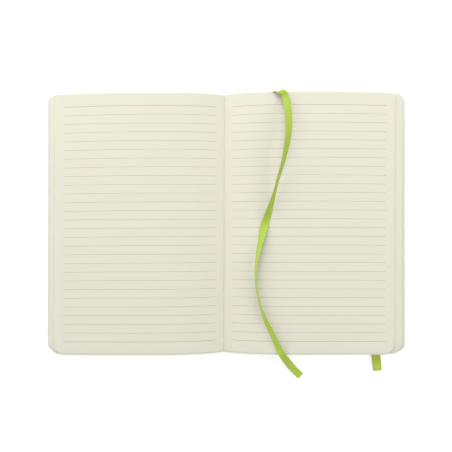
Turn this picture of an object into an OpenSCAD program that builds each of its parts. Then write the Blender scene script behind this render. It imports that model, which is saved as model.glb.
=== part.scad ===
// Open soft-covered notebook, ruled, with a ribbon marker and an elastic band.
// The spread lies flat: X runs across it, +Y is the head of the page, Z is up.
// The origin is the middle of the spine's underside.

/* [Cover] */
// Width of each cover panel, hinge to fore-edge
panel_w = 141; // [120:1:160]
// Width of the spine panel, the thickness of the closed book
spine_w = 12; // [10:0.5:16]
// Height of the cover from tail to head
cover_h = 211; // [190:1:230]
// Thickness of the soft cover
cover_t = 1.4; // [1.3:0.1:2.4]
// Radius of the rounded corners of the cover and the leaves
corner_r = 6.5; // [4:0.5:12]
// Gap between the spine panel and a cover panel
hinge_gap = 0.15; // [0.1:0.05:0.3]

/* [Paper] */
// Distance by which the cover stands past the leaves at head and tail
page_square = 1; // [0.6:0.1:3]
// Distance by which the cover stands past the lowest leaf at the fore-edge
fore_square = 2; // [0.4:0.1:3]
// Thickness of the endpapers pasted inside the covers
endpaper_t = 0.2; // [0.1:0.05:0.4]
// Width of the strip by which an endpaper stays short of the cover's edge
endpaper_inset = 1.5; // [0.8:0.1:4]
// Play between the endpapers and the block of leaves
block_gap = 0.15; // [0.1:0.05:0.3]
// Distance from the spine's middle to the gutter, towards the left page
gutter_shift = 1.6; // [0:0.1:4]
// Height of the open gutter above the table
gutter_z = 3.2; // [2.9:0.1:5]
// Depth of the narrow fold at the very gutter
fold_depth = 0.8; // [0.3:0.1:1]
// Rise of the left page above the gutter
left_rise = 10.1; // [6:0.1:12]
// Rise of the right page above the gutter
right_rise = 10.2; // [6:0.1:13]
// Distance over which a page rises from the gutter
rise_run = 20; // [14:1:28]
// Fall of the left page towards its fore-edge
left_fall = 5.3; // [0.4:0.1:6]
// Fall of the right page towards its fore-edge
right_fall = 2.6; // [0.4:0.1:4]
// Distance by which a top leaf is narrower than half the spread
top_square = 10; // [7:0.5:20]
// Number of sections that step out at each fore-edge
section_count = 6; // [3:1:8]
// Distance by which the leaves of one section creep outwards
section_creep = 0.9; // [0.2:0.1:1.2]

/* [Ruling] */
// Distance between two ruled lines
line_pitch = 7; // [5:0.5:9]
// Distance from the head of the page to the first line
line_head = 10.4; // [6:0.1:24]
// Least distance from the last line to the tail of the page
line_foot = 9.4; // [6:0.1:24]
// Width of a printed line
line_w = 0.35; // [0.2:0.05:0.8]
// Height of the printed lines above the paper
ink_t = 0.06; // [0.04:0.01:0.1]
// Distance from the gutter to the inner end of a line
line_inner = 6.4; // [5:0.1:12]
// Distance from the outer end of a line to the fore-edge of the top leaf
line_outer = 7.6; // [6.5:0.1:30]

/* [Elastic band] */
// Width of the elastic band
band_w = 7; // [5:0.5:9]
// Thickness of the elastic band
band_t = 0.9; // [0.6:0.05:1]
// Distance from the fore-edge of the back cover to the middle of the band
band_inset = 24; // [14:1:50]
// Length of each end of the band that is glued inside the cover
band_tail = 18; // [10:1:30]
// Distance by which the slack loop stands past the tail of the cover
loop_reach = 16.2; // [6:0.5:24]
// Angle by which the slack loop leans outwards
loop_lean = 5.8; // [0:0.5:8]
// Clearance around the band in its seat
band_gap = 0.05; // [0.02:0.01:0.1]
// Opening between the two layers of the slack loop
loop_open = 0.1; // [0.1:0.05:0.6]

/* [Ribbon marker] */
// Width of the ribbon
ribbon_w = 6; // [4:0.5:7]
// Thickness of the ribbon
ribbon_t = 0.4; // [0.2:0.05:0.5]
// Clearance between the ribbon and the page it lies on
ribbon_gap = 0.3; // [0.2:0.05:0.6]
// Clearance between the ribbon and the head of the block
ribbon_seat_gap = 0.1; // [0.05:0.05:0.2]
// Length of the ribbon's end that is glued under the head of the block
ribbon_tab = 14; // [6:1:30]

/* [Hidden] */

// Places worked out from the sizes above
hinge_x = spine_w / 2;
half_w = hinge_x + panel_w;
gutter_x = -gutter_shift;
bed_z = cover_t + endpaper_t + block_gap;
page_h = cover_h - 2 * page_square;
head_y = page_h / 2;
top_leaf_w = half_w - top_square;
line_run = top_leaf_w - line_inner - line_outer;
line_count = floor((page_h - line_head - line_foot) / line_pitch) + 1;
band_x = half_w - band_inset;
tilt = atan((band_t + band_gap) / (band_x - hinge_x));
low_leaf_x = half_w - fore_square;
tall = 40;
margin = 5;

// Samples of the page curve, closer together towards the gutter
sample_count = 18;
sample_power = 2.2;
fold_run = 0.8;
samples = [for (i = [0:sample_count]) pow(i / sample_count, sample_power)];

// Height of the page at a distance u from the gutter: it rises like 1 - exp(-u / run),
// then falls as a parabola
function page_curve(u, rise, fall) =
    gutter_z - fold_depth * exp(-u / fold_run)
    + rise * (1 - exp(-u / rise_run)) - fall * pow(u / top_leaf_w, 2);
function left_curve(u) = page_curve(u, left_rise, left_fall);
function right_curve(u) = page_curve(u, right_rise, right_fall);

// Facets of both open pages as [x, z], from the left fore-edge to the right one and past them
facets = concat(
    [[-low_leaf_x - margin, left_curve(top_leaf_w)]],
    [for (i = [sample_count:-1:1]) let (u = samples[i] * top_leaf_w) [gutter_x - u, left_curve(u)]],
    [for (i = [0:sample_count]) let (u = samples[i] * top_leaf_w) [gutter_x + u, right_curve(u)]],
    [[low_leaf_x + margin, right_curve(top_leaf_w)]]);
function page_z(x) = lookup(x, facets);

// Underside of the block: level on the left, on the slope of the back cover on the right
function under_z(x) = bed_z + max(0, x - hinge_x) * tan(tilt);

// Surface at a share f of the block's height
function leaf_z(x, f) = under_z(x) + (page_z(x) - under_z(x)) * f;

// Fore-edges of the section whose top lies at a share f of the height
function left_edge(f) = -low_leaf_x + (low_leaf_x + gutter_x - top_leaf_w) * f;
function right_edge(f) = low_leaf_x - (low_leaf_x - gutter_x - top_leaf_w) * f;

// A panel in plan, with the two corners at its fore-edge rounded
module panel_plan(inner_x, outer_x, height, radius) {
    side = sign(outer_x);
    intersection() {
        translate([inner_x, -height / 2]) mirror([side < 0 ? 1 : 0, 0])
            square([abs(outer_x - inner_x), height]);
        union() {
            translate([-tall / 2 + inner_x, -height / 2]) square([tall, height]);
            translate([min(inner_x, outer_x - side * radius), -height / 2])
                square([abs(outer_x - side * radius - inner_x), height]);
            translate([min(inner_x, outer_x), -height / 2 + radius])
                square([abs(outer_x - inner_x), height - 2 * radius]);
            for (end = [-1, 1])
                translate([outer_x - side * radius, end * (height / 2 - radius)])
                    circle(r = radius, $fn = 64);
        }
    }
}

// Whatever lies on the back cover slopes with it, from the hinge to the band
module on_back_cover() {
    translate([hinge_x, 0, 0]) rotate([0, -tilt, 0]) translate([-hinge_x, 0, 0]) children();
}

// Seats for the glued ends of the band, cut into the inner face of the back cover
module band_seats() {
    seat_w = band_w + 2 * band_gap;
    seat_l = band_tail + band_gap + margin;
    for (end = [-1, 1])
        translate([band_x - seat_w / 2, end > 0 ? cover_h / 2 + margin - seat_l : -cover_h / 2 - margin,
                   cover_t - band_t - 2 * band_gap])
            cube([seat_w, seat_l, band_t + margin]);
}

module front_cover() {
    color("#e9e9e4") linear_extrude(cover_t) panel_plan(-hinge_x - hinge_gap, -half_w, cover_h, corner_r);
}

module back_cover() {
    color("#e9e9e4") on_back_cover() difference() {
        linear_extrude(cover_t) panel_plan(hinge_x + hinge_gap, half_w, cover_h, corner_r);
        band_seats();
    }
}

module spine_panel() {
    color("#e9e9e4") translate([-hinge_x, -cover_h / 2, 0]) cube([spine_w, cover_h, cover_t]);
}

module spine_lining() {
    lining_inset = 0.6;
    color("#f4f1e6") translate([-hinge_x + lining_inset, -head_y, cover_t])
        cube([spine_w - 2 * lining_inset, page_h, bed_z - cover_t]);
}

module endpaper(side) {
    inner_x = side * (hinge_x + hinge_gap);
    outer_x = side * (half_w - endpaper_inset);
    translate([0, 0, cover_t]) linear_extrude(endpaper_t)
        panel_plan(inner_x, outer_x, cover_h - 2 * endpaper_inset, corner_r - endpaper_inset);
}

module front_endpaper() {
    color("#f1eedd") endpaper(-1);
}

module back_endpaper() {
    color("#f1eedd") on_back_cover() endpaper(1);
}

// A section reaches one and a half sections down, its rounded lip nine tenths of one;
// facets closer to its ends than facet_gap are left out
half_section = 1.5;
lip_share = 0.9;
facet_gap = 0.2;

// One section, from fore-edge to fore-edge
module section(k) {
    f = k / section_count;
    low = max(0, (k - half_section) / section_count);
    reach_f = (k - 1) / (section_count - 1);
    left_x = left_edge(reach_f);
    right_x = right_edge(reach_f);
    inner = [for (p = facets) if (p[0] > left_x + facet_gap && p[0] < right_x - facet_gap) p[0]];
    creep = k > 1 ? section_creep : 0;
    step_f = max(0, (k - lip_share) / section_count);
    top = [for (x = inner) [x, leaf_z(x, f)]];
    right_side = [[right_x, leaf_z(right_x, f)], [right_x + creep, leaf_z(right_x, step_f)],
                  [right_x + creep, leaf_z(right_x, low)]];
    bottom = k > 1 ? [for (i = [len(inner) - 1:-1:0]) [inner[i], leaf_z(inner[i], low)]]
                   : [[hinge_x, bed_z]];
    left_side = [[left_x - creep, leaf_z(left_x, low)], [left_x - creep, leaf_z(left_x, step_f)],
                 [left_x, leaf_z(left_x, f)]];
    intersection() {
        translate([0, head_y, 0]) rotate([90, 0, 0]) linear_extrude(page_h)
            polygon(concat(top, right_side, bottom, left_side));
        linear_extrude(tall) union() {
            panel_plan(0, left_x - creep, page_h, corner_r);
            panel_plan(0, right_x + creep, page_h, corner_r);
        }
    }
}

// The ribbon's glued end lies in a shallow seat under the head of the block
module ribbon_tab_at(gap) {
    translate([-gap, head_y - ribbon_tab - gap, bed_z + ribbon_lay - gap])
        cube([ribbon_w + 2 * gap, ribbon_tab + ribbon_seat_gap + ribbon_t + 2 * gap, ribbon_t + 2 * gap]);
}
ribbon_lay = 0.03;
seat_gap = 0.06;

module pages() {
    color("#eceadb") difference() {
        union() for (k = [1:section_count]) section(k);
        ribbon_tab_at(seat_gap);
    }
}

// One printed line, lying on the facets of a page from x = a to x = b
module ruled_line(a, b) {
    xs = concat([a], [for (p = facets) if (p[0] > a && p[0] < b) p[0]], [b]);
    rotate([90, 0, 0]) linear_extrude(line_w, center = true)
        polygon(concat([for (x = xs) [x, page_z(x)]],
                       [for (i = [len(xs) - 1:-1:0]) [xs[i], page_z(xs[i]) + ink_t]]));
}

module ruled_lines() {
    color("#d3d1bd") for (i = [0:line_count - 1]) translate([0, head_y - line_head - i * line_pitch, 0]) {
        ruled_line(gutter_x - line_inner - line_run, gutter_x - line_inner);
        ruled_line(gutter_x + line_inner, gutter_x + line_inner + line_run);
    }
}

// Outline of a strip of thickness t that follows a path of [y, z] points
function unit(v) = v / norm(v);
function strip_normal(path, i) = let (
    a = path[max(0, i - 1)],
    b = path[min(len(path) - 1, i + 1)],
    d = unit(b - a)) [-d[1], d[0]];
function strip_outline(path, t) = concat(
    [for (i = [0:len(path) - 1]) path[i] + strip_normal(path, i) * t / 2],
    [for (i = [len(path) - 1:-1:0]) path[i] - strip_normal(path, i) * t / 2]);

// Half turn of the band about [y, z], from below to above, on the side given by dir
function half_turn(y, z, r, dir, steps = 10) =
    [for (i = [0:steps]) let (a = -90 + 180 * i / steps) [y + dir * r * cos(a), z + r * sin(a)]];

module band_strip(path) {
    rotate([90, 0, 90]) linear_extrude(band_w, center = true) polygon(strip_outline(path, band_t));
}

// Glued end of the band, sloping with the back cover; end is 1 at the head and -1 at the tail
join = 0.4;
module band_end(end) {
    on_back_cover() translate([band_x - band_w / 2, end > 0 ? cover_h / 2 - band_tail : -cover_h / 2 - join,
                               cover_t - band_t - band_gap / 2])
        cube([band_w, band_tail + join, band_t]);
}

// Side of the slack loop: the band comes out of the cover at one height and eases down to another
ease_start = 0.8;
ease_step = 1.6;
ease_steps = 4;
function ease_down(y, from, to) =
    [for (i = [0:ease_steps])
        [y - ease_start - i * ease_step, from - (from - to) * (1 - cos(180 * i / ease_steps)) / 2]];

// The band lies under the back cover, turns round its head and is glued inside;
// at the tail its slack stands out as a flat loop before it turns in again
module elastic_band() {
    under = band_t / 2;
    lift = (band_x - hinge_x) * tan(tilt);
    inside = lift + (cover_t - band_t / 2 - band_gap / 2) / cos(tilt);
    edge_y = cover_h / 2;
    head_r = (inside - under) / 2;
    loop_r = (band_t + loop_open) / 2;
    loop_y = -edge_y - loop_reach + loop_r + band_t / 2;
    turn_y = edge_y + band_gap + band_t / 2 - head_r / 2;
    color("#adcb45") union() {
        translate([band_x, 0, 0]) {
            band_strip(concat(
                [[-edge_y - join, under]],
                half_turn(turn_y, (under + inside) / 2, head_r, 1),
                [[edge_y - join, inside]]));
            translate([0, -edge_y, 0]) rotate([0, 0, loop_lean]) translate([0, edge_y, 0])
                band_strip(concat(
                    [[-edge_y + join, inside]],
                    ease_down(-edge_y, inside, under + 2 * loop_r),
                    [for (i = [0:8]) half_turn(loop_y, under + loop_r, loop_r, -1, 8)[8 - i]],
                    [[-edge_y + join, under]]));
        }
        band_end(1);
        band_end(-1);
    }
}

// Route of the ribbon in millimetres: [x, y, height, roll in degrees, share of the full width].
// Up to the fold y counts from the head of the block and the height from the table. The end is glued
// under the block, so that only part of its width shows at first; then it climbs along the head.
head_route = [[0.3, 0, 2.9, 90, 0.35], [4, 0, 3.1, 90, 0.42], [9, 0, 3.6, 90, 0.6], [14, 0, 4.25, 90, 0.8],
              [20, 0, 4.85, 90, 1], [27, 0.02, 5.8, 90, 1], [33.4, 0.15, 7.1, 88, 1], [37.6, 0.45, 8.8, 84, 1],
              [40.1, 0.6, 10.9, 74, 1], [42, 0.2, 12.8, 50, 1], [43.6, -0.3, 14.2, 32, 1]];
// On the page y was drawn for the height in route_page_h, and the height counts from the page
route_page_h = 209;
page_route = [
    [45.2, 103.4, 1.6, 12], [46.6, 100.9, 1.8, 4], [47.7, 97.2, 3, 3], [48.4, 90.6, 5.4, 7],
    [48.7, 82.2, 7.5, 13], [48.6, 73.1, 8.6, 23], [47.8, 64.8, 8.7, 34], [46.3, 56.6, 8, 45],
    [44.8, 49, 6.8, 54], [42.8, 41.3, 5.4, 60], [40.6, 33.6, 4, 63], [38.7, 25.8, 2.7, 62],
    [36.7, 17.9, 1.5, 50], [34.4, 10, 0.6, 32], [32, 2, 0.1, 10], [29.6, -6, 0, -22],
    [27.7, -14, 0, -46], [25.9, -22, 0, -58], [24.4, -30, 0, -70], [23.5, -38, 0, -77],
    [23.4, -46, 0, -77], [24, -54, 0, -72], [25.4, -61, 0, -66], [27.8, -69, 0, -58],
    [31, -77, 0, -44], [34.9, -85, 0, -30], [38.8, -93.5, 0, -16], [42.2, -100.5, 0.1, -6],
    [44.5, -104.6, 0.5, 0]];
// Past the tail y counts from the tail of the block and the height from the table
tail_route = [[47.2, -4.0, 12.1, 0], [51.0, -9.6, 7.4, 0], [55.8, -15.6, 3.4, 0], [61.6, -21.5, 0.6, 0]];

// Lowest centre of the ribbon over the page at x: its half width turned up, its half thickness and the gap
function ribbon_lift(roll) = abs(sin(roll)) * ribbon_w / 2 + ribbon_t / 2 + ribbon_gap;
head_face_y = head_y + ribbon_seat_gap + ribbon_t / 2;
route = concat(
    [for (p = head_route) [p[0], p[1] + head_face_y, p[2]]],
    [for (p = page_route) [p[0], p[1] * page_h / route_page_h, page_z(p[0]) + ribbon_lift(p[3]) + p[2]]],
    [for (p = tail_route) [p[0], p[1] - head_y, p[2]]]);
rolls = [for (p = concat(head_route, page_route, tail_route)) p[3]];
function width_share(i) = i < len(head_route) ? head_route[i][4] : 1;

// Frame of the ribbon at point i: its run, its width and its face
function run_at(i) = unit(route[min(len(route) - 1, i + 1)] - route[max(0, i - 1)]);
function level_at(i) = let (d = run_at(i)) unit([d[1], -d[0], 0]);
function width_at(i) = let (
    across = level_at(i),
    face = cross(across, run_at(i)),
    flat_face = face[2] < 0 ? -face : face) -across * cos(rolls[i]) - flat_face * sin(rolls[i]);
function ring_at(i) = let (
    w = width_at(i) * width_share(i) * ribbon_w / 2,
    n = unit(cross(width_at(i), run_at(i))) * ribbon_t / 2)
    [route[i] + w + n, route[i] - w + n, route[i] - w - n, route[i] + w - n];

// Two triangles between the corners a and b of one ring and the same corners of the next.
// The face and the back are split along the same diagonal, which keeps the ribbon evenly thick.
function side_faces(i, j) = let (a = 4 * i + j, b = 4 * i + (j + 1) % 4)
    j == 2 ? [[a, b, b + 4], [a, b + 4, a + 4]] : [[a, b, a + 4], [b, b + 4, a + 4]];

module ribbon_marker() {
    count = len(route);
    rings = [for (i = [0:count - 1]) each ring_at(i)];
    sides = [for (i = [0:count - 2]) each [for (j = [0:3]) each side_faces(i, j)]];
    color("#aecb4a") union() {
        polyhedron(points = rings, faces = concat(
            [[3, 2, 1, 0]], sides, [[4 * count - 4, 4 * count - 3, 4 * count - 2, 4 * count - 1]]));
        ribbon_tab_at(0);
    }
}

front_cover();
back_cover();
spine_panel();
spine_lining();
front_endpaper();
back_endpaper();
pages();
ruled_lines();
elastic_band();
ribbon_marker();
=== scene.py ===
# %% [markdown]
# # An open ruled notebook, dressed around its imported frame
# The notebook lies open near its middle. Two stacks of cream leaves rise from the gutter, a lime green
# ribbon wanders down the right-hand page, and the slack of the closing band stands out at the tail.
# The frame already holds every piece at its true size, so this lesson only gives the pieces their
# surfaces. We start by loading the frame.

import bpy
import numpy as np
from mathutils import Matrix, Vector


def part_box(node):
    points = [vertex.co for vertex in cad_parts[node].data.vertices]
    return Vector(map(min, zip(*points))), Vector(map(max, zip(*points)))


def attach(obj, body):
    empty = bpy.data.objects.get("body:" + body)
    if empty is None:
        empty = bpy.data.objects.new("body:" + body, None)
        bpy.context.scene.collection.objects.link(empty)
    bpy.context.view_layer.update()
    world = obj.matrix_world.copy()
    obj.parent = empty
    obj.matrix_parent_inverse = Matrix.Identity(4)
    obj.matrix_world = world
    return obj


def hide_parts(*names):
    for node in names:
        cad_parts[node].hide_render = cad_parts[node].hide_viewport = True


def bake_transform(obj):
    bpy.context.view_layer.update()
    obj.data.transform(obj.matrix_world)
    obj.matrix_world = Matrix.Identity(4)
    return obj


MM = 0.001
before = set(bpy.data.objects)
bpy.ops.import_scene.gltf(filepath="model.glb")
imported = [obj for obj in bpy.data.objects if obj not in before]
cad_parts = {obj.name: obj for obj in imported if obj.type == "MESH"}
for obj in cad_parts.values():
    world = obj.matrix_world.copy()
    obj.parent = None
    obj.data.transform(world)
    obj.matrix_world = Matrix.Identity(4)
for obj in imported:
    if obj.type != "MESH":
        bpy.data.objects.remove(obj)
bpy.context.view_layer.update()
print("frame nodes:", sorted(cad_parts))

# %% [markdown]
# ## Sizes
# Whatever the frame can tell us is read from it: a box per node gives the cover, the spine and the
# leaves. The rest are the few numbers that shape a page, and they are the same as in the part's
# source, so that the ribbon and the leaves lie where the solids lie.

# %% Sizes of the cover, the leaves and the page curve
cover_low, cover_high = (np.array(corner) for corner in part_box("front_cover"))
pages_low, pages_high = (np.array(corner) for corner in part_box("pages"))
HINGE_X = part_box("spine_panel")[1][0]
HALF_W = -cover_low[0]
HALF_H = cover_high[1]
COVER_T = cover_high[2]
HEAD_Y = pages_high[1]
BED_Z = pages_low[2]
BAND_W = 7 * MM
BAND_T = 0.9 * MM
BAND_X = HALF_W - 24 * MM
TILT = (BAND_T + 0.05 * MM) / (BAND_X - HINGE_X)
CORNER_R = 6.5 * MM
GUTTER_X = -1.6 * MM
GUTTER_Z = 3.2 * MM
FOLD_DEPTH = 1.15 * MM
FOLD_RUN = 1.5 * MM
RISE_RUN = 20 * MM
LEFT_RISE = 10.1 * MM
RIGHT_RISE = 10.2 * MM
LEFT_FALL = 5.3 * MM
RIGHT_FALL = 2.6 * MM
TOP_LEAF_W = HALF_W - 10 * MM
LOW_LEAF_X = HALF_W - 2.8 * MM
print(f"spread {2 * HALF_W:.3f} m wide, leaves {2 * HEAD_Y:.3f} m tall")

# %% [markdown]
# ## The page curve
# An opened page is pulled down into the gutter, swings up and then sinks slowly to its edge. A bent
# sheet like this could be simulated, but one formula describes it well: an exponential rise, a small
# parabola for the fall, and a short extra dip for the fold itself. Every leaf in the stack is the
# same curve scaled down towards the cover.


# %% Curves of the leaves
def page_z(x):
    """Height of the open page over x: the gutter, less a dip that fades over FOLD_RUN, plus a rise of
    one minus exp(-u / RISE_RUN), less a fall that grows with the square of u, the distance to the gutter."""
    u = np.minimum(np.abs(x - GUTTER_X), TOP_LEAF_W)
    rise = np.where(x < GUTTER_X, LEFT_RISE, RIGHT_RISE)
    fall = np.where(x < GUTTER_X, LEFT_FALL, RIGHT_FALL)
    dip = FOLD_DEPTH * np.exp(-u / FOLD_RUN)
    return GUTTER_Z - dip + rise * (1 - np.exp(-u / RISE_RUN)) - fall * (u / TOP_LEAF_W) ** 2


def under_z(x):
    """Underside of the leaves: level on the left, on the slope of the back cover on the right."""
    return BED_Z + np.maximum(0, x - HINGE_X) * TILT


def leaf_z(x, share):
    """Surface at a share of the height between the underside and the open page."""
    return under_z(x) + (page_z(x) - under_z(x)) * share


print(f"crest of the right page {page_z(np.array(60 * MM)) / MM:.1f} mm over the table")

# %% [markdown]
# ## The camera
# The photograph looks straight down, and the pages near the lens look a little larger than the
# cover. That asks for a real distance of about 0.37 m and no tilt, rather than a long lens far away.
# A camera has no rotation when it looks down with +Y at the top of its frame.

# %% Camera
CAMERA_HEIGHT = 370 * MM
CAMERA_Y = -2.55 * MM
PIXELS_PER_M = 1212
FRAME_PIXELS = 452
SENSOR = 36.0

camera_data = bpy.data.cameras.new("camera")
camera_data.sensor_width = SENSOR
camera_data.lens = SENSOR / FRAME_PIXELS * PIXELS_PER_M * CAMERA_HEIGHT
camera_data.clip_start = 0.01
camera = bpy.data.objects.new("camera", camera_data)
camera.location = (0, CAMERA_Y, CAMERA_HEIGHT)
bpy.context.scene.collection.objects.link(camera)
bpy.context.scene.camera = camera
print(f"lens {camera_data.lens:.1f} mm at {CAMERA_HEIGHT} m")

# %% [markdown]
# ## A helper for meshes
# All new pieces are grids of points worked out with numpy. One helper turns an array of points and
# an array of faces into an object, shades it smooth and stores a UV map when there is one. The flat
# ends of a strip are single faces with many corners, so faces are given as a list.


# %% Mesh helper
SHARP_FROM = np.radians(38)


def make_piece(name, points, faces, uv=None, smooth=True):
    """A mesh object from points (n by 3) and faces, with a UV value for each point if uv is given."""
    mesh = bpy.data.meshes.new(name)
    mesh.from_pydata(points.reshape(-1, 3).tolist(), [], faces)
    if uv is not None:
        corners = np.empty(len(mesh.loops), dtype=np.int32)
        mesh.loops.foreach_get("vertex_index", corners)
        layer = mesh.uv_layers.new(name="UVMap")
        layer.data.foreach_set("uv", uv.reshape(-1, 2)[corners].astype(np.float32).ravel())
    mesh.polygons.foreach_set("use_smooth", np.full(len(mesh.polygons), smooth))
    mesh.update()
    mesh.set_sharp_from_angle(angle=SHARP_FROM)
    piece = bpy.data.objects.new(name, mesh)
    bpy.context.scene.collection.objects.link(piece)
    print(f"{name}: {len(mesh.vertices)} points, {len(mesh.polygons)} faces")
    return piece


def grid_quads(rows, columns, first=0, close=False):
    """Faces between neighbours of a grid of points. close joins the last column to the first."""
    index = first + np.arange(rows * columns).reshape(rows, columns)
    right = np.roll(index, -1, axis=1) if close else index[:, 1:]
    left = index if close else index[:, :-1]
    return np.stack([left[:-1], right[:-1], right[1:], left[1:]], axis=-1).reshape(-1, 4)


# %% [markdown]
# ## The ribbon marker
# A book ribbon is woven satin, about 6 mm wide, glued under the lining at the head of the spine. Here
# it follows the head of the block, folds over onto the right-hand page and rolls from one edge to the
# other on its way down. A curve with a flat bevel could draw it, but it would not let us set the roll
# point by point, so a flat section is swept along a smooth line by hand. The points are those of the
# part's source, drawn in a little more at the glued end and rolled a little further where the ribbon
# stands on its edge. Their height on the page comes from the page curve.

# %% Route of the ribbon
RIBBON_W = 6 * MM
RIBBON_T = 0.34 * MM
RIBBON_SEAT = (0.4 / 2 + 0.3) * MM
head_route = [[0.3, 0, 2.8, 90, 0.22], [4, 0, 3, 90, 0.34], [9, 0, 3.6, 90, 0.6], [14, 0, 4.25, 90, 0.8],
              [20, 0, 4.85, 90, 1], [27, 0.02, 5.8, 90, 1], [33.4, 0.15, 7.1, 88, 1],
              [37.6, 0.45, 8.8, 84, 1], [40.1, 0.6, 10.9, 74, 1], [42, 0.2, 12.8, 50, 1],
              [43.6, -0.3, 14.2, 32, 1]]
page_route = [[45.2, 103.4, 1.6, 12], [46.6, 100.9, 1.8, 4], [47.7, 97.2, 3, 3], [48.4, 90.6, 5.4, 7],
              [48.7, 82.2, 7.5, 13], [48.6, 73.1, 8.6, 23], [47.8, 64.8, 8.7, 34], [46.3, 56.6, 8, 45],
              [44.8, 49, 6.8, 54], [42.8, 41.3, 5.4, 60], [40.6, 33.6, 4, 63], [38.7, 25.8, 2.7, 62],
              [36.7, 17.9, 1.5, 50], [34.4, 10, 0.6, 32], [32, 2, 0.1, 10], [29.6, -6, 0, -22],
              [27.7, -14, 0, -46], [25.9, -22, 0, -58], [24.4, -30, 0, -70], [23.5, -38, 0, -77],
              [23.5, -46, 0, -78], [24.4, -54, 0, -81], [25.9, -61, 0, -79], [28.2, -69, 0, -71],
              [31.1, -77, 0, -58], [35, -85, 0, -49], [39, -93.5, 0, -46], [42.3, -100.5, 0.1, -34],
              [44.5, -104.6, 0.5, -22]]
tail_route = [[47.2, -4.0, 12.1, -8], [51.0, -9.6, 7.4, 0], [55.8, -15.6, 3.4, 0], [61.6, -21.5, 0.6, 0]]

head_part = np.array(head_route)[:, :4] + [0, HEAD_Y / MM + 0.3, 0, 0]
tail_part = np.array(tail_route) - [0, HEAD_Y / MM, 0, 0]
knots = np.concatenate([head_part, page_route, tail_part])
shares = np.concatenate([np.array(head_route)[:, 4], np.ones(len(page_route) + len(tail_route))])
rolls = np.radians(knots[:, 3])
knots = knots[:, :3] * MM
on_page = slice(len(head_route), len(head_route) + len(page_route))
lift = np.abs(np.sin(rolls)) * RIBBON_W / 2 + RIBBON_SEAT
knots[on_page, 2] += page_z(knots[on_page, 0]) + lift[on_page]
print(f"ribbon route: {len(knots)} points")


# %% Smooth line through the points
def smooth_line(points, count):
    """Cubic curve through points, as long between two of them as they are apart: each stretch mixes its
    two ends and their slopes with the four Hermite weights, and a slope looks one point either way."""
    step = np.linalg.norm(np.diff(points[:, :3], axis=0), axis=1)
    place = np.concatenate([[0], np.cumsum(step)])
    slope = np.gradient(points, place, axis=0)
    s = np.linspace(0, place[-1], count)
    i = np.clip(np.searchsorted(place, s, side="right") - 1, 0, len(step) - 1)
    h = step[i][:, None]
    t = ((s - place[i]) / step[i])[:, None]
    return ((2 * t**3 - 3 * t**2 + 1) * points[i] + (t**3 - 2 * t**2 + t) * h * slope[i]
            + (3 * t**2 - 2 * t**3) * points[i + 1] + (t**3 - t**2) * h * slope[i + 1])


def strip_section(half_w, half_t, across, ribs=0, rib_depth=0.0):
    """Closed section of a woven strip as (width, thickness) pairs: the face goes from one selvedge to the
    other and the back returns. The thickness is full inside and falls to nothing at the selvedges as the
    root of one minus the sixteenth power of the place, and ribs add a cosine to it."""
    w = np.sin(np.linspace(-np.pi / 2, np.pi / 2, across))
    t = np.sqrt(np.maximum(0, 1 - w**16)) * (1 - rib_depth * (0.5 + 0.5 * np.cos(np.pi * ribs * w)))
    face = np.stack([w * half_w, t * half_t], axis=1)
    back = np.stack([w[-2:0:-1] * half_w, -t[-2:0:-1] * half_t], axis=1)
    return np.concatenate([face, back])


def sweep_strip(name, line, width_dir, face_dir, section, shares=1.0):
    """Carries the section along the line: each point is the line plus its width and thickness along the
    two directions, with the width scaled by a share. U runs along the strip and V across it, in metres."""
    rows, columns = len(line), len(section)
    width_dir = width_dir * shares
    points = (line[:, None, :] + section[None, :, :1] * width_dir[:, None, :]
              + section[None, :, 1:] * face_dir[:, None, :])
    run = np.concatenate([[0], np.cumsum(np.linalg.norm(np.diff(line, axis=0), axis=1))])
    uv = np.stack(np.broadcast_arrays(run[:, None], section[None, :, 0]), axis=-1)
    ends = [list(range(columns)), list(range(rows * columns - 1, (rows - 1) * columns - 1, -1))]
    return make_piece(name, points, grid_quads(rows, columns, close=True)[:, ::-1].tolist() + ends, uv)


def unit(v):
    """Vectors of length one along v."""
    return v / np.linalg.norm(v, axis=-1, keepdims=True)


# %% Ribbon mesh
ROLL_SCALE = 0.01
RIBBON_RINGS = 520
route = smooth_line(np.column_stack([knots, rolls * ROLL_SCALE, shares * ROLL_SCALE]), RIBBON_RINGS)
ribbon_line = route[:, :3]
roll = route[:, 3:4] / ROLL_SCALE
run = unit(np.gradient(ribbon_line, axis=0))
level = unit(np.column_stack([run[:, 1], -run[:, 0], np.zeros(len(run))]))
face = np.cross(level, run)
face *= np.where(face[:, 2:] < 0, -1, 1)
ribbon_width = -level * np.cos(roll) - face * np.sin(roll)
ribbon_face = np.cross(ribbon_width, run)
ribbon = sweep_strip("ribbon_marker_satin", ribbon_line, ribbon_width, ribbon_face,
                     strip_section(RIBBON_W / 2, RIBBON_T / 2, 21), route[:, 4:] / ROLL_SCALE)
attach(ribbon, "block")
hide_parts("ribbon_marker")

# %% [markdown]
# ## The leaves
# A real block is about a hundred leaves sewn in sections. Modelling each leaf would be slow, and one
# solid block would lose the stepped edges that make paper look like paper. The block is therefore a
# pile of thin slabs, each a few leaves thick. A slab is two copies of one grid, top and underside:
# along the leaf it follows the page curve, and near the fore-edge its width shrinks by the formula of
# a circle, which rounds the corners. The lower slabs reach further out, as the fanned leaves do.
# The photograph shows tighter corners at the head than at the tail, so each end has its own radius.
# An open leaf also bends down over its last millimetre, which gives the pages their soft grey rim.


# %% Fanned fore-edges
SLABS = 26
fan = np.random.default_rng(7)


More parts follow.
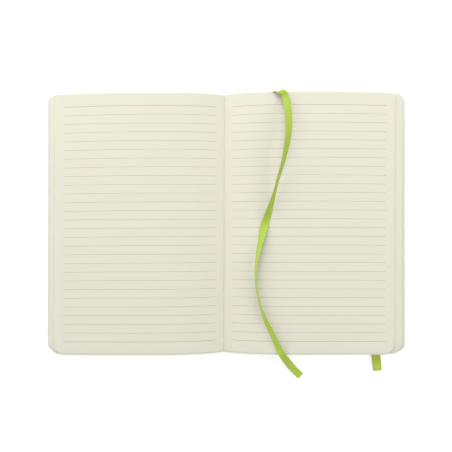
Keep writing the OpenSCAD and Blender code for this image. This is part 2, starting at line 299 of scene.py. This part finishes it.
def fore_edge(share, side):
    """Distance from the gutter to the fore-edge of the leaves at a share of the height, read from a table:
    the top section stays back, the next ones slip outwards a little each, and the lowest lies furthest."""
    low = LOW_LEAF_X - side * GUTTER_X
    heights = [0, 0.04, 0.3, 0.8, 0.83, 0.84, 1]
    slips = [1, 0.99, 0.92, 0.76, 0.68, 0.05, 0]
    return TOP_LEAF_W + (low - TOP_LEAF_W) * np.interp(share, heights, slips)


LEAN = 0.0045
DRIFT_RUN = 30 * MM
HEAD_CORNER_R = 4.8 * MM
TAIL_CORNER_R = 8 * MM
RIM_DROP = 0.45 * MM
RIM_RUN = 0.7 * MM
TAIL_REACH = 1.1 * MM


def drift(side, u):
    """How far the open leaf has slipped along Y at a distance u from the gutter, as the photo shows: a
    little near the gutter, and towards the tail with the fourth power of u at the fore-edge."""
    near, far = (-0.32 * MM, -0.9 * MM) if side < 0 else (0.28 * MM, -0.5 * MM)
    return near * (1 - np.exp(-u / DRIFT_RUN)) + far * (u / TOP_LEAF_W) ** 4


def leaf_grid(side, share, reach, half_h, columns, rows, wave=0.0):
    """Points of one leaf and their places on the flat sheet. Along it the places u crowd towards the
    gutter, and a quarter of them lie in the rounded corner. Across it a place v, from -1 at the tail to
    1 at the head, is scaled by the half height less r - sqrt(r * r - d * d), where d is how far u lies
    inside a corner of radius r. The wave is two crossed sines, and the rim drops by RIM_DROP times
    exp(-distance / RIM_RUN), less in the lowest third of the stack."""
    corner = columns // 4
    s = np.linspace(0, 1, columns - corner, endpoint=False)
    main = (reach - TAIL_CORNER_R) * (0.6 * s**2.2 + 0.4 * s)
    u = np.concatenate([main, reach - TAIL_CORNER_R * (1 - np.sin(np.linspace(0, np.pi / 2, corner)))])
    v = np.sin(np.linspace(-1, 1, rows) * np.pi / 2)
    head, tail = (half_h - r + np.sqrt(np.maximum(0, r**2 - np.maximum(0, u - (reach - r))**2))
                  for r in (HEAD_CORNER_R, TAIL_CORNER_R))
    x = np.broadcast_to((GUTTER_X + side * u)[:, None], (columns, rows))
    y = np.where(v > 0, head[:, None], tail[:, None]) * v
    y = y - share * TAIL_REACH * (v < -0.999)
    flat_place = np.stack([x, y], axis=-1)
    cockle = np.sin(41 * x + 23 * y + 1.3) * np.sin(57 * y - 19 * x)
    cockle = cockle * np.minimum(1, (u / TOP_LEAF_W)[:, None] * 2)
    to_rim = np.minimum(tail[:, None] + y + share * TAIL_REACH, (reach - u)[:, None])
    z = leaf_z(x, share) + wave * cockle - min(1, 3 * share) * RIM_DROP * np.exp(-to_rim / RIM_RUN)
    return np.stack([x + LEAN * y * share, y + drift(side, u)[:, None] * share, z], axis=-1), flat_place


def slab(top, under, first):
    """Faces of the closed slab between two grids of the same shape, whose points start at first."""
    columns, rows = top.shape[:2]
    count = columns * rows
    upper = grid_quads(columns, rows, first)[:, ::-1]
    lower = grid_quads(columns, rows, first + count)
    index = first + np.arange(count).reshape(columns, rows)
    rim = np.concatenate([index[:, 0], index[-1, 1:], index[-2::-1, -1], index[0, -2:0:-1]])
    following = np.roll(rim, -1)
    wall = np.stack([rim, rim + count, following + count, following], axis=-1)
    return np.concatenate([upper, lower, wall])


# %% Leaf block mesh
GAP_SHARE = 0.1
COCKLE = 0.07 * MM
TOP_GRID = (150, 61)
LOWER_GRID = (56, 17)
LOOSE_MM = 0.15
SHORT_MM = 0.12


def leaf_stack(side):
    """All slabs of one side as points, their places on the flat sheet, and faces. The top slab has a finer
    grid and a slight cockle."""
    points, places, faces, first = [], [], [], 0
    for k in range(SLABS):
        top_share = (k + 1) / SLABS
        under_share = (k + GAP_SHARE) / SLABS
        is_top = k == SLABS - 1
        columns, rows = TOP_GRID if is_top else LOWER_GRID
        loose = 0 if is_top else fan.uniform(-LOOSE_MM, LOOSE_MM) * MM
        reach = fore_edge(top_share, side) + loose
        half_h = HEAD_Y - (0 if is_top else fan.uniform(0, SHORT_MM) * MM)
        top, place = leaf_grid(side, top_share, reach, half_h, columns, rows, COCKLE if is_top else 0)
        under, _ = leaf_grid(side, under_share, reach, half_h, columns, rows)
        quads = slab(top, under, first)
        faces.append(quads if side > 0 else quads[:, ::-1])
        points.append(np.concatenate([top.reshape(-1, 3), under.reshape(-1, 3)]))
        places.append(np.concatenate([place.reshape(-1, 2), place.reshape(-1, 2)]))
        first += 2 * columns * rows
    return np.concatenate(points), np.concatenate(places), np.concatenate(faces)


for side, name in ((-1, "leaves_left"), (1, "leaves_right")):
    stack_points, stack_places, stack_faces = leaf_stack(side)
    leaves = make_piece(name, stack_points, stack_faces.tolist(), stack_places)
    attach(leaves, "block")
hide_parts("pages", "ruled_lines")
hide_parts("pages", "ruled_lines")

# %% [markdown]
# ## The soft cover
# The cover is one skin of leatherette over thin card. It bends along the two edges of the spine. Each
# cover panel is a slab like a leaf, but thicker and with a rounded edge: its faces close in on each
# other over the last half millimetre. The panel reaches a little way onto the spine, and its points
# crowd together near the hinge.

# %% Cover meshes
EDGE_R = 0.6 * MM
SEAM_X = HINGE_X - 1.4 * MM
CREASE = 4 * MM
RIM_SHARE = 0.25


def edge_places(count, end, fine):
    """Places from 0 to end, with a few more that crowd into the last stretch called fine."""
    crowded = end - fine * np.cos(np.linspace(0.3, np.pi / 2, 8))
    return np.concatenate([np.linspace(0, end - fine, count), crowded])


def rim_distance(x, y, outer_x):
    """Distance inward from the outline of a panel with rounded corners at its fore-edge."""
    over_x = np.maximum(0, x - (outer_x - CORNER_R))
    over_y = np.maximum(0, np.abs(y) - (HALF_H - CORNER_R))
    round_corner = CORNER_R - np.hypot(over_x, over_y)
    flat = np.minimum(outer_x - x, HALF_H - np.abs(y))
    return np.where((over_x > 0) & (over_y > 0), round_corner, flat)


def cover_panel(name, side, inner_x, outer_x, slope):
    """A soft panel, with rounded corners unless it is the spine's. The half thickness is that of the
    cover times RIM_SHARE, plus the rest times the root of one minus the square of how far a point lies
    into the rounded edge. slope lifts the panel away from the hinge."""
    is_cover = outer_x > HINGE_X * 2
    crease = np.linspace(inner_x, inner_x + CREASE, 17)[:-1]
    span = edge_places(40, outer_x - inner_x - CREASE, 2 * EDGE_R) + inner_x + CREASE
    u = np.concatenate([crease, span]) if is_cover else np.linspace(inner_x, outer_x, 12)
    half = edge_places(24, 1.0, 2 * EDGE_R / HALF_H)
    v = np.concatenate([-half[:0:-1], half])
    d = np.maximum(0, u - (outer_x - CORNER_R)) if is_cover else u * 0
    shrink = CORNER_R - np.sqrt(np.maximum(0, CORNER_R**2 - d**2))
    x = np.broadcast_to(u[:, None], (len(u), len(v)))
    y = (HALF_H - shrink)[:, None] * v[None, :]
    rim = rim_distance(x, y, outer_x) if is_cover else HALF_H - np.abs(y)
    into = 1 - np.clip(rim / EDGE_R, 0, 1)
    swell = COVER_T / 2 * (RIM_SHARE + (1 - RIM_SHARE) * np.sqrt(1 - into**2))
    middle = COVER_T / 2 + np.maximum(0, x - HINGE_X) * slope
    top = np.stack([side * x, y, middle + swell], axis=-1)
    under = np.stack([side * x, y, middle - swell], axis=-1)
    quads = slab(top, under, 0)
    quads = quads if side > 0 else quads[:, ::-1]
    points = np.concatenate([top.reshape(-1, 3), under.reshape(-1, 3)])
    piece = make_piece(name, points, quads.tolist())
    return piece


front_skin = cover_panel("front_cover_skin", -1, SEAM_X, HALF_W, 0.0)
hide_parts("front_cover")
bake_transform(front_skin)
back_skin = cover_panel("back_cover_skin", 1, SEAM_X, HALF_W, TILT)
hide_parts("back_cover")
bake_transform(back_skin)
spine_skin = cover_panel("spine_skin", 1, -SEAM_X, SEAM_X, 0.0)
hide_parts("spine_panel")
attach(spine_skin, "block")

# %% [markdown]
# ## The elastic closing band
# The band is a woven strip with rubber threads, which give it fine ribs along its length. Its ends
# are glued between the back cover and the endpaper. It turns round the head of the cover, runs down
# the outside, and its slack stands out past the tail as a flat loop. It is swept like the ribbon,
# along a line that lies in one upright plane, and the part past the tail is then turned a few degrees.

# %% Elastic band mesh
BAND_TAIL = 18 * MM
LOOP_REACH = 16.2 * MM
LOOP_LEAN = np.radians(5.8)
BAND_RIBS = 9
BAND_RINGS = 620

under_y = BAND_T / 2
inside_z = (BAND_X - HINGE_X) * TILT + COVER_T - BAND_T / 2
head_r = (inside_z - under_y) / 2
loop_r = BAND_T / 2 + 0.05 * MM
loop_y = -HALF_H - LOOP_REACH + loop_r + BAND_T / 2
turn = np.linspace(-np.pi / 2, np.pi / 2, 13)
fall_y = np.linspace(0.8, 7.2, 9) * MM
fall_z = inside_z - (inside_z - under_y - 2 * loop_r) * (1 - np.cos(fall_y / fall_y[-1] * np.pi)) / 2
head_turn = np.column_stack([HALF_H + BAND_T / 2 + head_r * np.cos(turn),
                             (under_y + inside_z) / 2 - head_r * np.sin(-turn)])[::-1]
profile = np.concatenate([
    [[HALF_H - BAND_TAIL, inside_z]],
    head_turn,
    np.column_stack([np.linspace(HALF_H - 4 * MM, -HALF_H, 24), np.full(24, under_y)]),
    np.column_stack([loop_y - loop_r * np.cos(turn), under_y + loop_r + loop_r * np.sin(turn)]),
    np.column_stack([-HALF_H - fall_y, fall_z])[::-1],
    [[-HALF_H, inside_z], [-HALF_H + BAND_TAIL, inside_z]]])
band_line = smooth_line(np.column_stack([np.full(len(profile), BAND_X), profile]), BAND_RINGS)
band_line[:, 2] = np.maximum(band_line[:, 2], under_y)
past = np.clip((-band_line[:, 1] - HALF_H + 1 * MM) / (2 * MM), 0, 1)
lean = LOOP_LEAN * past
out_y = band_line[:, 1] + HALF_H
band_line = np.column_stack([BAND_X - np.sin(lean) * out_y, np.cos(lean) * out_y - HALF_H,
                             band_line[:, 2]])
band_width = np.column_stack([np.cos(lean), np.sin(lean), np.zeros(len(lean))])
band_face = unit(np.cross(band_width, unit(np.gradient(band_line, axis=0))))
elastic = sweep_strip("elastic_band_webbing", band_line, band_width, band_face,
                      strip_section(BAND_W / 2, BAND_T / 2, 61, ribs=BAND_RIBS, rib_depth=0.16))
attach(elastic, "back")
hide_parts("elastic_band")


# %% [markdown]
# ## Shader groups
# Three effects are used by more than one material: fine grain, a weave, and small changes of tone.
# Each is built once as a node group with its own inputs. A group only hands out values; the
# Principled shader stays in the material, where its plain numbers can be read by an export.


# %% Node helpers
def math_node(tree, operation, a, b=None, c=None):
    """A Math node whose inputs are numbers or sockets."""
    made = tree.nodes.new("ShaderNodeMath")
    made.operation = operation
    for i, value in enumerate((a, b, c)):
        if value is None:
            continue
        if isinstance(value, (int, float)):
            made.inputs[i].default_value = value
        else:
            tree.links.new(value, made.inputs[i])
    return made.outputs[0]


def new_group(name, inputs, outputs):
    """A shader node group with float or vector inputs and outputs, each given as name: kind."""
    group = bpy.data.node_groups.new(name, "ShaderNodeTree")
    for words, direction in ((inputs, "INPUT"), (outputs, "OUTPUT")):
        for label, kind in words.items():
            group.interface.new_socket(label, in_out=direction, socket_type=f"NodeSocket{kind}")
    return group, group.nodes.new("NodeGroupInput"), group.nodes.new("NodeGroupOutput")


# %% Tone group
tone, tone_in, tone_out = new_group("tone_changes", {"Vector": "Vector", "Scale": "Float", "Amount": "Float"},
                                    {"Tone": "Float"})
tone_noise = tone.nodes.new("ShaderNodeTexNoise")
tone_noise.inputs["Detail"].default_value = 4
tone_noise.inputs["Roughness"].default_value = 0.55
tone.links.new(tone_in.outputs["Vector"], tone_noise.inputs["Vector"])
tone.links.new(tone_in.outputs["Scale"], tone_noise.inputs["Scale"])
tone_centred = math_node(tone, "SUBTRACT", tone_noise.outputs["Fac"], 0.5)
tone_scaled = math_node(tone, "MULTIPLY", tone_centred, tone_in.outputs["Amount"])
tone.links.new(math_node(tone, "ADD", tone_scaled, 1.0), tone_out.inputs["Tone"])

# %% Grain group
grain, grain_in, grain_out = new_group("fine_grain", {"Vector": "Vector", "Scale": "Float", "Cells": "Float"},
                                       {"Height": "Float"})
grain_noise = grain.nodes.new("ShaderNodeTexNoise")
grain_noise.inputs["Detail"].default_value = 5
grain_cells = grain.nodes.new("ShaderNodeTexVoronoi")
grain_cells.feature = "SMOOTH_F1"
for target in (grain_noise, grain_cells):
    grain.links.new(grain_in.outputs["Vector"], target.inputs["Vector"])
    grain.links.new(grain_in.outputs["Scale"], target.inputs["Scale"])
cells_part = math_node(grain, "MULTIPLY", grain_cells.outputs["Distance"], grain_in.outputs["Cells"])
grain.links.new(math_node(grain, "ADD", grain_noise.outputs["Fac"], cells_part), grain_out.inputs["Height"])

# %% Weave group
weave, weave_in, weave_out = new_group("weave", {"Vector": "Vector", "Along": "Float", "Across": "Float"},
                                       {"Height": "Float"})
weave_parts = weave.nodes.new("ShaderNodeSeparateXYZ")
weave.links.new(weave_in.outputs["Vector"], weave_parts.inputs["Vector"])
along = math_node(weave, "MULTIPLY", weave_parts.outputs["X"], weave_in.outputs["Along"])
across = math_node(weave, "MULTIPLY", weave_parts.outputs["Y"], weave_in.outputs["Across"])
checker = math_node(weave, "MULTIPLY", math_node(weave, "SINE", along), math_node(weave, "SINE", across))
ribbed = math_node(weave, "ABSOLUTE", math_node(weave, "SINE", math_node(weave, "MULTIPLY", along, 0.5)))
mixed = math_node(weave, "ADD", math_node(weave, "MULTIPLY", checker, 0.35),
                  math_node(weave, "MULTIPLY", ribbed, 0.65))
weave.links.new(mixed, weave_out.inputs["Height"])

# %% [markdown]
# ## Ruling
# The print is pale grey lines 7 mm apart; the first and the last are a little stronger. An image could
# hold them, but a formula stays sharp at any size: the distance to the nearest multiple of the pitch
# is compared with half the width of a line, and the lines stop at the margins.

# %% Ruling group
LINE_PITCH = 7 * MM
LINE_COUNT = 28
LINE_W = 0.35 * MM
LINE_TOP = HEAD_Y - 10.4 * MM
LINE_INNER = 6.4 * MM
OUTER_MARGIN = 7.6 * MM
LINE_RUN = TOP_LEAF_W - LINE_INNER - OUTER_MARGIN

ruling, ruling_in, ruling_out = new_group("ruling", {"Vector": "Vector"},
                                          {"Line": "Float", "End Line": "Float"})
ruling_parts = ruling.nodes.new("ShaderNodeSeparateXYZ")
ruling.links.new(ruling_in.outputs["Vector"], ruling_parts.inputs["Vector"])
below_top = math_node(ruling, "SUBTRACT", LINE_TOP, ruling_parts.outputs["Y"])
down = math_node(ruling, "DIVIDE", below_top, LINE_PITCH)
nearest = math_node(ruling, "ROUND", down)
away = math_node(ruling, "ABSOLUTE", math_node(ruling, "SUBTRACT", down, nearest))
on_line = math_node(ruling, "LESS_THAN", away, LINE_W / 2 / LINE_PITCH)
not_above = math_node(ruling, "GREATER_THAN", nearest, -0.5)
not_below = math_node(ruling, "LESS_THAN", nearest, LINE_COUNT - 0.5)
beside_gutter = math_node(ruling, "SUBTRACT", ruling_parts.outputs["X"], GUTTER_X)
from_gutter = math_node(ruling, "ABSOLUTE", beside_gutter)
past_inner = math_node(ruling, "GREATER_THAN", from_gutter, LINE_INNER)
before_end = math_node(ruling, "LESS_THAN", from_gutter, LINE_INNER + LINE_RUN)
inside = math_node(ruling, "MULTIPLY", math_node(ruling, "MULTIPLY", not_above, not_below),
                   math_node(ruling, "MULTIPLY", past_inner, before_end))
line = math_node(ruling, "MULTIPLY", on_line, inside)
first_line = math_node(ruling, "LESS_THAN", nearest, 0.5)
last_line = math_node(ruling, "GREATER_THAN", nearest, LINE_COUNT - 1.5)
end_line = math_node(ruling, "MULTIPLY", line, math_node(ruling, "ADD", first_line, last_line))
ruling.links.new(line, ruling_out.inputs["Line"])
ruling.links.new(end_line, ruling_out.inputs["End Line"])

# %% [markdown]
# ## Materials
# Colours are written as they look on a screen and turned into the linear values that Blender mixes.
# Paper is matt, with a trace of fibre; on its edges thin dark lines between the leaves follow the
# height: painted shade for the gaps between the leaves, on edges that are also painted a shade darker
# overall. The leatherette has a soft, pebbled grain. Ribbon and elastic share one woven material,
# with painted shade in the hollows of its weave. Along the ribbon its colour is painted lighter, to
# make up for the shade that falls towards the tail, so that it is as bright at the tail as at the head.
# Strong green would also tint the paper beside it far more than there, so a ray that has already left
# a matt surface sees a greyer green instead.


# %% Material helpers
def linear(red, green, blue):
    """A colour from 0 to 255 as linear values: the fourth part of the screen's curve, then alpha 1."""
    c = np.array([red, green, blue]) / 255
    c = np.where(c <= 0.04045, c / 12.92, ((c + 0.055) / 1.055) ** 2.4)
    return (*c.tolist(), 1.0)


def new_material(name, colour, roughness, sheen=0.0, specular=0.5):
    """A material with its tree, its Principled node and its Object coordinates."""
    material = bpy.data.materials.new(name)
    material.use_nodes = True
    tree = material.node_tree
    shader = tree.nodes["Principled BSDF"]
    shader.inputs["Base Color"].default_value = colour
    shader.inputs["Roughness"].default_value = roughness
    shader.inputs["Sheen Weight"].default_value = sheen
    shader.inputs["Specular IOR Level"].default_value = specular
    material.diffuse_color = colour
    return material, tree, shader, tree.nodes.new("ShaderNodeTexCoord")


def use_group(tree, group, vector, **values):
    """Places a group in a tree, gives it the vector and sets its other inputs."""
    made = tree.nodes.new("ShaderNodeGroup")
    made.node_tree = group
    tree.links.new(vector, made.inputs["Vector"])
    for key, value in values.items():
        made.inputs[key].default_value = value
    return made


def mix_colour(tree, factor, a, b, mode="MIX"):
    """A colour mix whose inputs are colours or sockets."""
    made = tree.nodes.new("ShaderNodeMix")
    made.data_type = "RGBA"
    made.blend_type = mode
    for i, value in ((0, factor), (6, a), (7, b)):
        if isinstance(value, (int, float, tuple)):
            made.inputs[i].default_value = value
        else:
            tree.links.new(value, made.inputs[i])
    return made.outputs[2]


def toned(tree, colour, tone_value):
    """A colour darkened or lightened by a value near one."""
    grey = tree.nodes.new("ShaderNodeCombineColor")
    for channel in ("Red", "Green", "Blue"):
        tree.links.new(tone_value, grey.inputs[channel])
    return mix_colour(tree, 1.0, colour, grey.outputs["Color"], "MULTIPLY")


def add_bump(tree, shader, height, strength, distance):
    """A Bump node from a height to the shader's normal."""
    bump = tree.nodes.new("ShaderNodeBump")
    bump.inputs["Strength"].default_value = strength
    bump.inputs["Distance"].default_value = distance
    tree.links.new(height, bump.inputs["Height"])
    tree.links.new(bump.outputs["Normal"], shader.inputs["Normal"])


# %% Paper
PAPER = linear(236, 234, 215)
LINE_INK = linear(198, 197, 179)
EDGE_FACING = 0.6
# Scale of the painted shade lines between the leaves on their cut edges.
LEAF_GAP_SHADE_SCALE = (12, 12, 9000)
END_INK = linear(180, 179, 162)
paper, tree, shader, coords = new_material("ivory_paper", PAPER, 0.85, specular=0.25)
fibre = use_group(tree, tone, coords.outputs["Object"], Scale=900, Amount=0.05)
cloud = use_group(tree, tone, coords.outputs["Object"], Scale=22, Amount=0.02)
lines = use_group(tree, ruling, coords.outputs["UV"])
inked = mix_colour(tree, lines.outputs["Line"], PAPER, LINE_INK)
inked = mix_colour(tree, lines.outputs["End Line"], inked, END_INK)
both_tones = math_node(tree, "MULTIPLY", fibre.outputs["Tone"], cloud.outputs["Tone"])
# Faces that look sideways are the cut edges of the leaves. Their colour gets painted shade: thin dark lines
# for the gaps between the leaves, and about 5 % darker on average.
geometry = tree.nodes.new("ShaderNodeNewGeometry")
facing = tree.nodes.new("ShaderNodeSeparateXYZ")
tree.links.new(geometry.outputs["True Normal"], facing.inputs["Vector"])
is_edge = math_node(tree, "LESS_THAN", math_node(tree, "ABSOLUTE", facing.outputs["Z"]), EDGE_FACING)
squeeze = tree.nodes.new("ShaderNodeMapping")
squeeze.inputs["Scale"].default_value = LEAF_GAP_SHADE_SCALE
tree.links.new(coords.outputs["Object"], squeeze.inputs["Vector"])
leaf_gap_shade = use_group(tree, tone, squeeze.outputs["Vector"], Scale=1, Amount=0.5)
edge_shade_change = math_node(tree, "SUBTRACT", leaf_gap_shade.outputs["Tone"], 1.05)
painted_edge_shade = math_node(tree, "MULTIPLY_ADD", edge_shade_change, is_edge, 1.0)
tones_and_edge_shade = math_node(tree, "MULTIPLY", both_tones, painted_edge_shade)
tree.links.new(toned(tree, inked, tones_and_edge_shade), shader.inputs["Base Color"])
paper_grain = use_group(tree, grain, coords.outputs["Object"], Scale=1500, Cells=0.2)
add_bump(tree, shader, paper_grain.outputs["Height"], 0.25, 0.00005)

# %% Endpaper and spine lining
ENDPAPER = linear(238, 235, 218)
MULL = linear(226, 222, 204)
endpaper, tree, shader, coords = new_material("endpaper", ENDPAPER, 0.8, specular=0.25)
fibre = use_group(tree, tone, coords.outputs["Object"], Scale=700, Amount=0.06)
tree.links.new(toned(tree, ENDPAPER, fibre.outputs["Tone"]), shader.inputs["Base Color"])
paper_grain = use_group(tree, grain, coords.outputs["Object"], Scale=1200, Cells=0.3)
add_bump(tree, shader, paper_grain.outputs["Height"], 0.3, 0.00006)

lining, tree, shader, coords = new_material("spine_mull", MULL, 0.9)
threads = use_group(tree, weave, coords.outputs["Object"], Along=9000, Across=9000)
threads_tone = use_group(tree, tone, coords.outputs["Object"], Scale=800, Amount=0.1)
tree.links.new(toned(tree, MULL, threads_tone.outputs["Tone"]), shader.inputs["Base Color"])
add_bump(tree, shader, threads.outputs["Height"], 0.5, 0.00008)

# %% Leatherette
COVER_WHITE = linear(240, 239, 233)
COVER_ROUGHNESS = 0.52
leatherette, tree, shader, coords = new_material("pale_leatherette", COVER_WHITE, COVER_ROUGHNESS,
                                                 specular=0.4)
pores = use_group(tree, grain, coords.outputs["Object"], Scale=900, Cells=1.4)
patches = use_group(tree, tone, coords.outputs["Object"], Scale=60, Amount=0.06)
tree.links.new(toned(tree, COVER_WHITE, patches.outputs["Tone"]), shader.inputs["Base Color"])
uneven = use_group(tree, tone, coords.outputs["Object"], Scale=400, Amount=0.3)
uneven_roughness = math_node(tree, "MULTIPLY", uneven.outputs["Tone"], COVER_ROUGHNESS)
tree.links.new(uneven_roughness, shader.inputs["Roughness"])
add_bump(tree, shader, pores.outputs["Height"], 0.5, 0.00012)


# %% Ribbon and elastic
BOUNCE_GREY = linear(170, 174, 150)
STREAKS = (60, 2600, 1)


def woven_material(name, colour, roughness, along, across, strength, start=1.0, gain=0.0):
    """Dyed threads on the strip's own UV map, which is in metres: U along it and V across it. The colour is
    multiplied by start + gain * U, a painted lightening along the strip that makes up for the shade
    towards its far end, and streaks run along the strip. The weave also gets painted shade in its
    hollows and a painted highlight on its raised threads."""
    material, tree, shader, coords = new_material(name, colour, roughness, sheen=0.1, specular=0.22)
    threads = use_group(tree, weave, coords.outputs["UV"], Along=along, Across=across)
    streaks = tree.nodes.new("ShaderNodeMapping")
    streaks.inputs["Scale"].default_value = STREAKS
    tree.links.new(coords.outputs["UV"], streaks.inputs["Vector"])
    streak_tone = use_group(tree, tone, streaks.outputs["Vector"], Scale=1, Amount=0.16)
    # Painted shade in the weave's hollows and a painted highlight on its raised threads: the colour is
    # multiplied by 0.93 to 1.04 with the weave's height.
    painted_weave_shade = math_node(tree, "MULTIPLY_ADD", threads.outputs["Height"], 0.08, 0.96)
    split = tree.nodes.new("ShaderNodeSeparateXYZ")
    tree.links.new(coords.outputs["UV"], split.inputs["Vector"])
    # Painted lightening along the strip: the colour is multiplied by start + gain * U, to make up for the
    # shade that falls towards the ribbon's tail.
    painted_lightening = math_node(tree, "MULTIPLY_ADD", split.outputs["X"], gain, start)
    tone_value = math_node(tree, "MULTIPLY", streak_tone.outputs["Tone"], painted_weave_shade)
    dye_and_painted_light = toned(tree, colour, math_node(tree, "MULTIPLY", tone_value, painted_lightening))
    bounce = tree.nodes.new("ShaderNodeLightPath").outputs["Is Diffuse Ray"]
    tree.links.new(mix_colour(tree, bounce, dye_and_painted_light, BOUNCE_GREY), shader.inputs["Base Color"])
    add_bump(tree, shader, threads.outputs["Height"], strength, 0.00006)
    return material


# For the ribbon, the last two numbers give its painted lightening: 0.84 at the glued end, rising by 1.3 per
# metre towards the tail.
ribbon_satin = woven_material("lime_satin", linear(178, 206, 76), 0.55, 14000, 20000, 0.35, 0.84, 1.3)
elastic_weave = woven_material("lime_elastic", linear(196, 223, 84), 0.6, 7000, 9000, 0.6)

# %% Give each piece its material
for piece_name, material in (
        ("leaves_left", paper), ("leaves_right", paper), ("front_cover_skin", leatherette),
        ("back_cover_skin", leatherette), ("spine_skin", leatherette), ("ribbon_marker_satin", ribbon_satin),
        ("elastic_band_webbing", elastic_weave)):
    bpy.data.objects[piece_name].data.materials.append(material)
for node_name, material in (("front_endpaper", endpaper), ("back_endpaper", endpaper),
                            ("spine_lining", lining)):
    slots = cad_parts[node_name].data.materials
    slots.clear()
    slots.append(material)
print("materials:", sorted(m.name for m in bpy.data.materials if m.users))

# %% [markdown]
# ## Floor, light and world
# The photograph has a pure white ground with only a thread of shadow along the right and lower edges.
# A white floor that also glows a little for the camera gives that: open floor clips to white, and
# only the deepest part of the shadow stays visible. The light is an even world and three soft lamps:
# a large one at the upper left, like a window, one beyond the head, which makes the pages a shade
# brighter there than at the tail, and a small one at the right, which gives the ribbon a second, fainter
# shadow on its left.

# %% Floor
FLOOR_HALF = 3.0
FLOOR_GLOW = 0.53


def seen_directly(tree):
    """One where a camera, mirror or glass ray arrives, and zero for the rays that light the pieces."""
    paths = tree.nodes.new("ShaderNodeLightPath")
    shiny = math_node(tree, "MAXIMUM", paths.outputs["Is Glossy Ray"], paths.outputs["Is Transmission Ray"])
    return math_node(tree, "MAXIMUM", paths.outputs["Is Camera Ray"], shiny)


floor_corners = np.array([[-1, -1, 0], [1, -1, 0], [1, 1, 0], [-1, 1, 0]]) * FLOOR_HALF
floor = make_piece("floor", floor_corners, [[0, 1, 2, 3]])
floor_material, tree, shader, coords = new_material("white_floor", (0.9, 0.9, 0.9, 1), 1.0, specular=0.0)
shader.inputs["Emission Color"].default_value = (1, 1, 1, 1)
floor_glow = math_node(tree, "MULTIPLY", seen_directly(tree), FLOOR_GLOW)
tree.links.new(floor_glow, shader.inputs["Emission Strength"])
floor.data.materials.append(floor_material)

# %% World and lamps
WORLD_LEVEL = 0.44
world = bpy.data.worlds.new("studio")
bpy.context.scene.world = world
world.use_nodes = True
tree = world.node_tree
background = tree.nodes["Background"]
background.inputs["Color"].default_value = (1, 1, 1, 1)
level = math_node(tree, "MULTIPLY_ADD", seen_directly(tree), 1 - WORLD_LEVEL, WORLD_LEVEL)
tree.links.new(level, background.inputs["Strength"])


def add_lamp(name, place, size, power):
    """A square area lamp aimed at the origin: it tips by the angle between its place and the vertical,
    and then turns about the vertical to face the notebook."""
    lamp_data = bpy.data.lights.new(name, "AREA")
    lamp_data.size = size
    lamp_data.energy = power
    lamp = bpy.data.objects.new(name, lamp_data)
    back = unit(np.array(place))
    lamp.location = place
    lamp.rotation_euler = (float(np.arccos(back[2])), 0, float(np.arctan2(back[0], -back[1])))
    bpy.context.scene.collection.objects.link(lamp)
    print(f"{name}: {power} W, {np.linalg.norm(place):.2f} m away")


add_lamp("window_lamp", (-0.85, 0.55, 0.5), 1.1, 5.4)
add_lamp("head_lamp", (0, 1.0, 0.7), 0.8, 7.8)
add_lamp("side_lamp", (0.85, 0.05, 0.6), 0.45, 2.1)
bpy.context.scene.view_settings.view_transform = "Standard"
